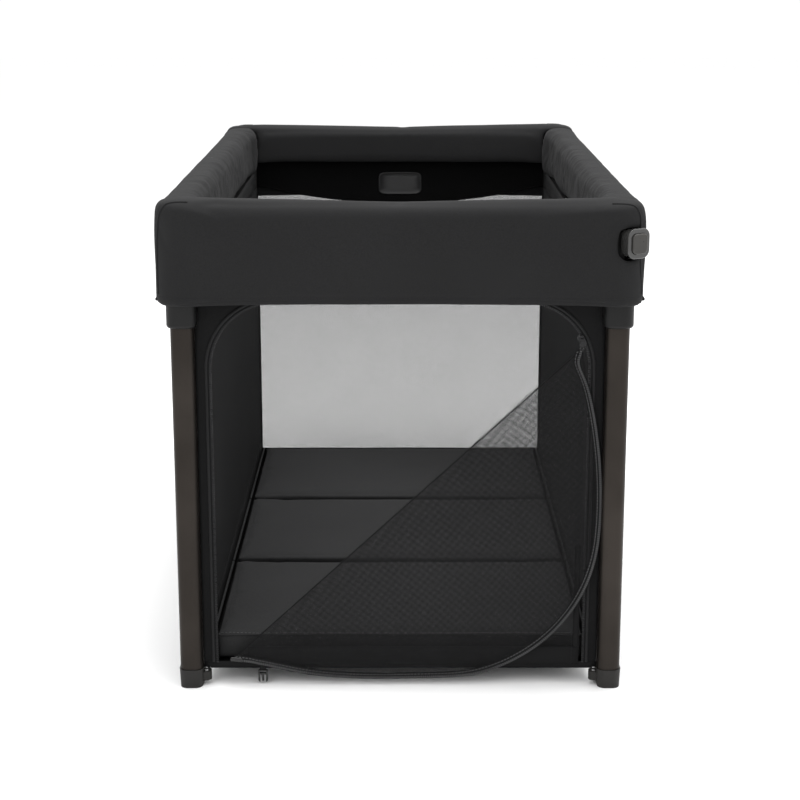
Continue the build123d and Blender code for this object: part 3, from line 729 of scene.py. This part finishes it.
def bars(name, centres, sizes):
    """Many thin boxes in one mesh."""
    centres, sizes = np.asarray(centres, float), np.asarray(sizes, float)
    unit = np.array([(x, y, z) for x in (-1, 1) for y in (-1, 1) for z in (-1, 1)]) / 2
    points = centres[:, None] + unit[None] * sizes[:, None]
    box_faces = ((0, 1, 3, 2), (4, 6, 7, 5), (0, 4, 5, 1), (2, 3, 7, 6), (0, 2, 6, 4), (1, 5, 7, 3))
    faces = [[8 * k + v for v in f] for k in range(len(centres)) for f in box_faces]
    return piece_from(name, points.reshape(-1, 3), faces, smooth=False)


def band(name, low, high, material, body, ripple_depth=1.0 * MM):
    """A flat strip of doubled cloth in a box, with soft edges."""
    low, high = np.minimum(low, high), np.maximum(low, high)
    size = high - low
    thin = int(np.argmin(size))
    others = [k for k in range(3) if k != thin]
    counts = [max(3, min(120, int(size[k] / (8 * MM)))) for k in others]
    grid = np.zeros((counts[0], counts[1], 3))
    grid[..., thin] = (low[thin] + high[thin]) / 2
    grid[..., others[0]] = np.linspace(low[others[0]], high[others[0]], counts[0])[:, None]
    grid[..., others[1]] = np.linspace(low[others[1]], high[others[1]], counts[1])[None, :]
    strip = skin(name, grid)
    ripple(strip, ripple_depth, (9, 9, 9), seed=float(len(name)))
    thicken(strip, max(size[thin], 1.2 * MM))
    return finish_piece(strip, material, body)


for side_name in SIDES:
    sign = -1 if side_name == "left" else 1
    x = sign * (side_low[0] + side_high[0]) / 2
    y_from, y_to = side_low[1] + BAND_END, side_high[1] - BAND_END
    z_from, z_to = side_low[2] + BAND_LOW, side_high[2] - BAND_LOW * 0.6
    uprights = np.arange(y_from, y_to, NET_PITCH)
    levels = np.arange(z_from, z_to, NET_PITCH)
    centres = [(x, y, (z_from + z_to) / 2) for y in uprights] + [(x, 0, z) for z in levels]
    sizes = [(NET_DEPTH, NET_THREAD, z_to - z_from)] * len(uprights)
    sizes += [(NET_DEPTH * 0.8, y_to - y_from, NET_THREAD)] * len(levels)
    net = bars(f"{side_name}_net", centres, sizes)
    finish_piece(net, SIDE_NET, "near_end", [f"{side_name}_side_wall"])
    wall = [net]
    edges = (
        ("low", (side_low[1], side_low[2] - 1.5 * MM), (side_high[1], z_from)),
        ("top", (side_low[1], z_to), (side_high[1], side_high[2])),
        ("near", (side_low[1], z_from), (y_from, z_to)),
        ("far", (y_to, z_from), (side_high[1], z_to)),
    )
    for where, (y0, z0), (y1, z1) in edges:
        strip = band(
            f"{side_name}_{where}_band", np.array((x - 0.9 * MM, y0, z0)), np.array((x + 0.9 * MM, y1, z1)),
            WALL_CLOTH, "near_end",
        )
        wall.append(strip)
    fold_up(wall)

# the floor sheet under the mattress
floor_grid = np.zeros((70, 50, 3))
floor_grid[..., 1] = np.linspace(border_low[1], floor_high[1], 70)[:, None]
floor_grid[..., 0] = np.linspace(-side_high[0], side_high[0], 50)[None, :]
floor_grid[..., 2] = (floor_low[2] + floor_high[2]) / 2
floor_cloth = skin("floor_cloth", floor_grid)
ripple(floor_cloth, 1.2 * MM, (7, 7, 7), seed=2.0)
thicken(floor_cloth, 2 * MM)
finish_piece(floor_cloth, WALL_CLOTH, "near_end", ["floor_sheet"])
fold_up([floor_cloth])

# ---------------------------------------------------------------- mattress

def mattress_panel(which):
    """One padded panel, with piping round its top and rows of quilting stitches."""
    panel = cad_copy(f"{which}_mattress", f"mattress_{which}")
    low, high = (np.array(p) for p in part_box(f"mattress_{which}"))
    modify(panel, "DISPLACE", strength=-3 * MM, mid_level=0.0)
    puff(panel, pressure=5.0, cap=6 * MM, voxel=0.005, smooth=3)
    points = coordinates(panel.data)
    ends = np.minimum(points[:, 1] - low[1], high[1] - points[:, 1])
    sink = 0.6 * MM * np.exp(-(ends / (12 * MM)) ** 2) * (points[:, 2] > low[2] + 15 * MM)
    points[:, 2] -= sink
    points[:, 2] = np.clip(points[:, 2], low[2] - 2 * MM, high[2] + 5 * MM)
    points[:, 1] = np.clip(points[:, 1], low[1] + 0.2 * MM, high[1] - 0.2 * MM)
    points[:, 0] = np.clip(points[:, 0], low[0] - 2 * MM, high[0] + 2 * MM)
    reshape(panel, points)
    ripple(panel, 1.0 * MM, (9, 14, 10), seed=low[1] * 9)
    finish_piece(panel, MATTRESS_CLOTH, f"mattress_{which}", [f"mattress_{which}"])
    edge_z = high[2] - 5 * MM
    for sign in (-1, 1):
        x = high[0] * sign
        line = [(x, y, edge_z) for y in np.linspace(low[1] + 2 * MM, high[1] - 2 * MM, 50)]
        piping = tube(f"{which}_mattress_piping_{'lr'[sign > 0]}", line, 1.7 * MM, up=(0, 0, 1))
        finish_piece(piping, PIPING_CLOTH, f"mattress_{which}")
    rows = {"near": low[1] + 4 * MM, "middle": None, "far": high[1] - 4 * MM}
    if rows[which] is not None:
        line = [(x, rows[which], high[2]) for x in np.linspace(low[0] + 4 * MM, high[0] - 4 * MM, 60)]
        piping = tube(f"{which}_mattress_cross_piping", onto(panel, line, 0.4 * MM), 1.7 * MM, up=(0, 0, 1))
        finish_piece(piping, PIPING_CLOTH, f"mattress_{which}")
        line = [(x, rows[which] - math.copysign(9 * MM, rows[which]), high[2]) for x, _, _ in line]
        stitches = beads(f"{which}_mattress_stitches", onto(panel, line, 0.2 * MM), 6 * MM,
                         (3.8 * MM, 0.9 * MM, 0.9 * MM), up=(0, 0, 1))
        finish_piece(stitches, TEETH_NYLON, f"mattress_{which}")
    return panel


for part_name in ("near", "middle", "far"):
    mattress_panel(part_name)


# ---------------------------------------------------------------- near wall, arch and zip

def arch_line(inset):
    """The door arch from its lower left up, over and down to its lower right, drawn in by inset."""
    half = chain_high[0] - inset
    top = chain_high[2] - inset
    radius = (chain_high[0] - arch_centre[0]) - inset
    low = chain_low[2]
    turns = np.linspace(0, math.pi / 2, 18)
    centre = half - radius
    points = [(-half, low)]
    points += [(-centre - radius * math.cos(t), top - radius + radius * math.sin(t)) for t in turns]
    points += [(centre + radius * math.sin(t), top - radius + radius * math.cos(t)) for t in turns]
    points += [(half, low)]
    found, _ = along([(x, wall_y, z) for x, z in points], 4 * MM)
    return found


def near_wall():
    """The cloth border round the door, its piping and the arch's half of the zip."""
    inner = arch_line(-0.5 * MM)
    outer = []
    half, top, low = border_high[0] + LEG_GAP, border_high[2], border_low[2]
    for x, _, z in inner:
        reach_x = half / max(abs(x), 1e-6)
        reach_z = (top - arch_centre[2]) / max(z - arch_centre[2], 1e-6)
        if z <= arch_centre[2]:
            outer.append((math.copysign(half, x), wall_y, z))
        else:
            grow = min(reach_x, reach_z)
            outer.append((x * grow, wall_y, arch_centre[2] + (z - arch_centre[2]) * grow))
    grid = np.array([[np.array(a) * (1 - t) + np.array(b) * t for t in np.linspace(0, 1, 6)]
                     for a, b in zip(inner, outer)])
    border = skin("door_surround", grid)
    lower = np.zeros((60, 4, 3))
    lower[..., 0] = np.linspace(-half, half, 60)[:, None]
    lower[..., 1] = wall_y
    lower[..., 2] = np.linspace(low, chain_low[2], 4)[None, :]
    sill = skin("door_sill", lower)
    border = join_into("door_surround", [border, sill])
    ripple(border, 0.8 * MM, (9, 9, 9), seed=5.0)
    thicken(border, 1.8 * MM)
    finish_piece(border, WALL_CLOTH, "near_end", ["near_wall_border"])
    front = np.array((0, -1.6 * MM, 0))
    piping = tube("arch_piping", arch_line(-1.5 * MM) + front, 1.9 * MM)
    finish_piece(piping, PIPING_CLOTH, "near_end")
    tape = tube("arch_zip_tape", arch_line(2.2 * MM), 3.4 * MM, sides=8, flat=0.28)
    teeth = beads("arch_zip_teeth", arch_line(4.6 * MM) + front * 0.7, TOOTH_PITCH, TOOTH_SIZE)
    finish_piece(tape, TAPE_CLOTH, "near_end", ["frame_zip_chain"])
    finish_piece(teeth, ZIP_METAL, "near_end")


near_wall()


def fold_z(x):
    """Height of the door's fold line at x."""
    return fold_point[2] + fold_axis[2] / fold_axis[0] * (x - fold_point[0])


def lower_panel():
    """The closed lower right half of the door: net, with cloth bands along its bottom and right edge."""
    right = panel_high[0]
    left = panel_low[0]
    bottom = panel_low[2]
    across = np.linspace(left, right, 110)
    grid = []
    limit_radius = right - arch_centre[0]
    for x in across:
        top = fold_z(x) - 1.5 * MM
        if x > arch_centre[0]:
            reach = math.sqrt(max(limit_radius ** 2 - (x - arch_centre[0]) ** 2, 0))
            top = min(top, arch_centre[2] + reach)
        top = max(top, bottom + 0.5 * MM)
        column = []
        for t in np.linspace(0, 1, 60):
            z = bottom + (top - bottom) * t
            sag = 1.6 * MM * noise.noise(Vector((x * 8, z * 8, 1.0)))
            column.append((x, wall_y + sag, z))
        grid.append(column)
    net = skin("door_lower_net", grid)
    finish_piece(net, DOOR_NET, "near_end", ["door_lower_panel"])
    front, back = wall_y - 2.2 * MM, wall_y - 1.2 * MM
    band(
        "door_bottom_band",
        np.array((left + 30 * MM, front, bottom - 2 * MM)), np.array((right, back, bottom + 26 * MM)),
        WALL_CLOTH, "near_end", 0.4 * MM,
    )
    band(
        "door_side_band",
        np.array((right - 9 * MM, front, bottom + 26 * MM)), np.array((right, back, bottom + 190 * MM)),
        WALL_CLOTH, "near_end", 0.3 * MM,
    )
    seam = [(right - 11 * MM, wall_y - 2.6 * MM, z) for z in np.linspace(bottom, bottom + 160 * MM, 60)]
    stitches = beads("door_side_stitches", seam, STITCH_PITCH, STITCH_SIZE)
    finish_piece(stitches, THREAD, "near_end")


lower_panel()


def smooth_line(points, count):
    """A smooth open line that rounds off the corners between a few points."""
    points = np.asarray(points, float)
    for _ in range(4):
        cut = [points[0]]
        for a, b in zip(points[:-1], points[1:]):
            cut += [a * 0.75 + b * 0.25, a * 0.25 + b * 0.75]
        cut.append(points[-1])
        points = np.array(cut)
    steps = np.linalg.norm(np.diff(points, axis=0), axis=1)
    reached = np.concatenate([[0], np.cumsum(steps)])
    places = np.linspace(0, reached[-1], count)
    return np.stack([np.interp(places, reached, points[:, k]) for k in range(points.shape[1])], axis=1)


def flap():
    """The unzipped half of the door, folded down outwards over the closed half."""
    edge_loop = outline("door_flap", (0, -1, 0))[:, [0, 2]]
    heading = np.array((fold_axis[0], fold_axis[2]))
    reach = edge_loop @ heading
    loop = np.roll(edge_loop, -int(np.argmax(reach)), axis=0)
    heel = int(np.argmin(loop @ heading))
    ways = [loop[:heel + 1], np.concatenate([loop[heel:], loop[:1]])[::-1]]
    rim = max(ways, key=lambda way: np.linalg.norm(np.diff(way, axis=0), axis=1).sum())
    rim = np.vstack([rim[0] + heading * SLIDER_REACH, rim])
    tip, end = rim[0], rim[-1]
    rim = relax(along(np.insert(rim, 1, 0, axis=1), 6 * MM)[0][:, [0, 2]], 10)
    out = unit(np.stack([-np.gradient(rim[:, 1]), np.gradient(rim[:, 0])], axis=1))
    fold = np.linspace(tip, end, len(rim))
    if np.sum(out * (rim - fold)) < 0:
        out = -out
    rim = rim + out * ZIP_REACH * np.clip(np.sin(np.linspace(0, math.pi, len(rim))), 0, 1)[:, None] ** 0.3
    rows = []
    for k, ((rx, rz), (fx, fz)) in enumerate(zip(rim, fold)):
        column = []
        for t in np.linspace(0, 1, 56):
            x, z = fx + (rx - fx) * t, fz + (rz - fz) * t
            belly = 4 * MM * math.sin(math.pi * t) * math.sin(math.pi * k / (len(rim) - 1))
            gather = max(0, (-0.14 - x) / 0.12)
            crinkle = 2.6 * MM * gather * noise.noise(Vector((x * 70, z * 40, 9)))
            soft = 1.6 * MM * noise.noise(Vector((x * 11, z * 11, 3)))
            roll = 3.2 * MM * math.exp(-t * 26)
            column.append((x, flap_y - belly + crinkle + soft * t + roll, z))
        rows.append(column)
    net = skin("door_flap_net", rows)
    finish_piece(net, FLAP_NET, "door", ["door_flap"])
    points = np.array(rows)
    # the cloth's area is that of the CAD flap's outline, and isn't measured on this mesh
    edge = points[:, -1]
    edge_in = points[:, -5]
    out = unit((edge - edge_in) * (1, 0, 1))
    tape = tube("flap_zip_tape", edge - out * 2.5 * MM, 5.2 * MM, sides=8, flat=0.26)
    teeth_line = edge - out * 0.2 * MM + np.array((0, -1.2 * MM, 0))
    teeth = beads("flap_zip_teeth", teeth_line, TOOTH_PITCH, TOOTH_SIZE)
    seam = beads("flap_rim_stitches", edge - out * 6 * MM + np.array((0, -1.8 * MM, 0)), 5.2 * MM,
                 (3.2 * MM, 1.3 * MM, 1.2 * MM))
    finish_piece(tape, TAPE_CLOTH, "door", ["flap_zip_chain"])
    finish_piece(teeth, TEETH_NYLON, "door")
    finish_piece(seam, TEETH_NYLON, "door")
    crease = tube("flap_fold_roll", points[:, 0] + np.array((0, 0.4 * MM, 0)), 0.9 * MM, sides=8)
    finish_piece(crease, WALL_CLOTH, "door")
    end = edge[-1]
    stop_line = [end + np.array((step * MM, -2 * MM, -step * 0.1 * MM)) for step in range(-6, 13, 2)]
    stop = tube("zip_end_piece", stop_line, 3.2 * MM, sides=12, flat=0.6)
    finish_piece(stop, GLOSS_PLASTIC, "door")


flap()


def strap():
    """The buckle's short strap: a folded loop of webbing."""
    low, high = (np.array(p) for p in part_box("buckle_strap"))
    x = (low[0] + high[0]) / 2
    y = (low[1] + high[1]) / 2
    loop_line = [(y + 0.6 * MM, high[2]), (y + 0.6 * MM, low[2]), (y, low[2] - 2.4 * MM),
                 (y - 0.6 * MM, low[2]), (y - 0.6 * MM, high[2])]
    line = smooth_line(loop_line, 40)
    half = (high[0] - low[0]) / 2 - 0.4 * MM
    grid = [[(x + u * half, py, pz) for u in np.linspace(-1, 1, 8)] for py, pz in line]
    webbing = skin("buckle_webbing", grid)
    thicken(webbing, 0.7 * MM)
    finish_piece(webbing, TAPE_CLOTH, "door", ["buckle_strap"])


strap()


# ---------------------------------------------------------------- far wall

def far_wall():
    """The far wall: net window under a sagging cloth band, with a plain patch."""
    y = (window_low[1] + window_high[1]) / 2
    sag = 34 * MM
    crown = window_high[2] + 10 * MM
    reach = far_high[0] - 0.5 * MM
    across = np.linspace(-reach, reach, 84)

    def window_top(x):
        return crown - sag * (1 - min(1, (x / window_high[0]) ** 2))

    def sheet_between(name, bottom_of, top_of, columns, rows, thickness=None, seed=0.0):
        grid = [
            [(x, y + 1.6 * MM * noise.noise(Vector((x * 7, z * 7, seed))), z)
             for z in np.linspace(bottom_of(x), top_of(x), rows)]
            for x in columns
        ]
        made = skin(name, grid)
        return thicken(made, thickness) if thickness else made

    net = sheet_between("far_window_net", lambda x: window_low[2], window_top, across, 70, seed=1)
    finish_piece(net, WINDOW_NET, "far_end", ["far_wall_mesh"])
    edge_x = far_high[0] + LEG_GAP
    full = np.linspace(-edge_x, edge_x, 90)
    thick = 2 * MM
    top = sheet_between("far_top_band", lambda x: window_top(x) - 0.5 * MM, lambda x: far_high[2],
                        full, 16, thick, seed=2)
    low = sheet_between("far_low_band", lambda x: far_low[2], lambda x: window_low[2] + 4 * MM,
                        full, 8, thick, seed=3)
    sides = [
        sheet_between(f"far_{side}_band", lambda x: window_low[2], lambda x: window_top(window_high[0]),
                      np.linspace(inner, outer, 4), 70, thick, seed=seed)
        for side, inner, outer, seed in (("left", -edge_x, -reach, 4), ("right", reach, edge_x, 5))
    ]
    border = join_into("far_top_band", [top, low, *sides])
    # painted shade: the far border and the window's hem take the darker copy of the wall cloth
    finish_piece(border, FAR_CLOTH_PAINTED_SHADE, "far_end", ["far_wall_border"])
    hem = [(x, y - 1.6 * MM, window_top(x) + 1.5 * MM) for x in across]
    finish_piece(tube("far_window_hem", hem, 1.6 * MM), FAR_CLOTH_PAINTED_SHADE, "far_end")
    patch_middle = (patch_low + patch_high) / 2
    half_x, half_z = (patch_high[0] - patch_low[0]) / 2, (patch_high[2] - patch_low[2]) / 2
    rings = []
    # the patch's rim is raised: shares of its size, and heights in millimetres
    profile = ((1.0, 0.0), (0.99, 1.0), (0.95, 1.5), (0.9, 1.3), (0.88, 1.0), (0.5, 1.1), (0.02, 1.1))
    for share, lift in profile:
        ring = []
        for turn in np.linspace(0, 2 * math.pi, 64, endpoint=False):
            c, s = math.cos(turn), math.sin(turn)
            x = boxy(c, 0.35) * (half_x * share if share < 0.6 else half_x - (1 - share) * half_z)
            z = boxy(s, 0.35) * half_z * share
            ring.append((patch_middle[0] + x, patch_high[1] - lift * MM, patch_middle[2] + z))
        rings.append(ring)
    patch = skin("far_patch", rings, closed_v=True, caps=True)
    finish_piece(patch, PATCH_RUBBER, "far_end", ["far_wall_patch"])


far_wall()

# ---------------------------------------------------------------- stage, light and camera

floor_corners = [(-9, -9, 0), (9, -9, 0), (9, 14, 0), (-9, 14, 0)]
floor_mesh = piece_from("studio_floor", floor_corners, [(0, 1, 2, 3)], smooth=False)
floor_material, _, floor_shader = nodes_of("studio_floor")
floor_shader.inputs["Base Color"].default_value = (0.97, 0.97, 0.97, 1)
floor_shader.inputs["Roughness"].default_value = 0.9
floor_mesh.data.materials.append(floor_material)

world = bpy.data.worlds.new("studio")
scene.world = world
world.use_nodes = True
world.node_tree.nodes["Background"].inputs["Color"].default_value = (1, 1, 1, 1)
world.node_tree.nodes["Background"].inputs["Strength"].default_value = 1.03


def area_light(name, place, target, size, power):
    """A soft square light aimed at a point."""
    data = bpy.data.lights.new(name, "AREA")
    data.shape = "SQUARE"
    data.size = size
    data.energy = power
    light = bpy.data.objects.new(name, data)
    light.location = place
    light.rotation_euler = (Vector(target) - Vector(place)).to_track_quat("-Z", "Y").to_euler()
    scene.collection.objects.link(light)


area_light("key", (-1.6, -2.6, 2.8), (0, 0, 0.4), 1.6, 14)
area_light("top", (0.2, 0.2, 3.3), (0, 0, 0.4), 2.6, 118)
area_light("right_fill", (3.0, -0.8, 2.0), (0, 0, 0.4), 1.8, 20)

CAMERA_PITCH = 12.5
camera_data = bpy.data.cameras.new("camera")
camera_data.sensor_width = 36
camera_data.lens = 72.1
camera_data.shift_y = -0.12
camera = bpy.data.objects.new("camera", camera_data)
camera.location = (0, -2.771, 1.102)
camera.rotation_euler = (math.radians(90 - CAMERA_PITCH), 0, 0)
scene.collection.objects.link(camera)
scene.camera = camera
scene.view_settings.view_transform = "Standard"
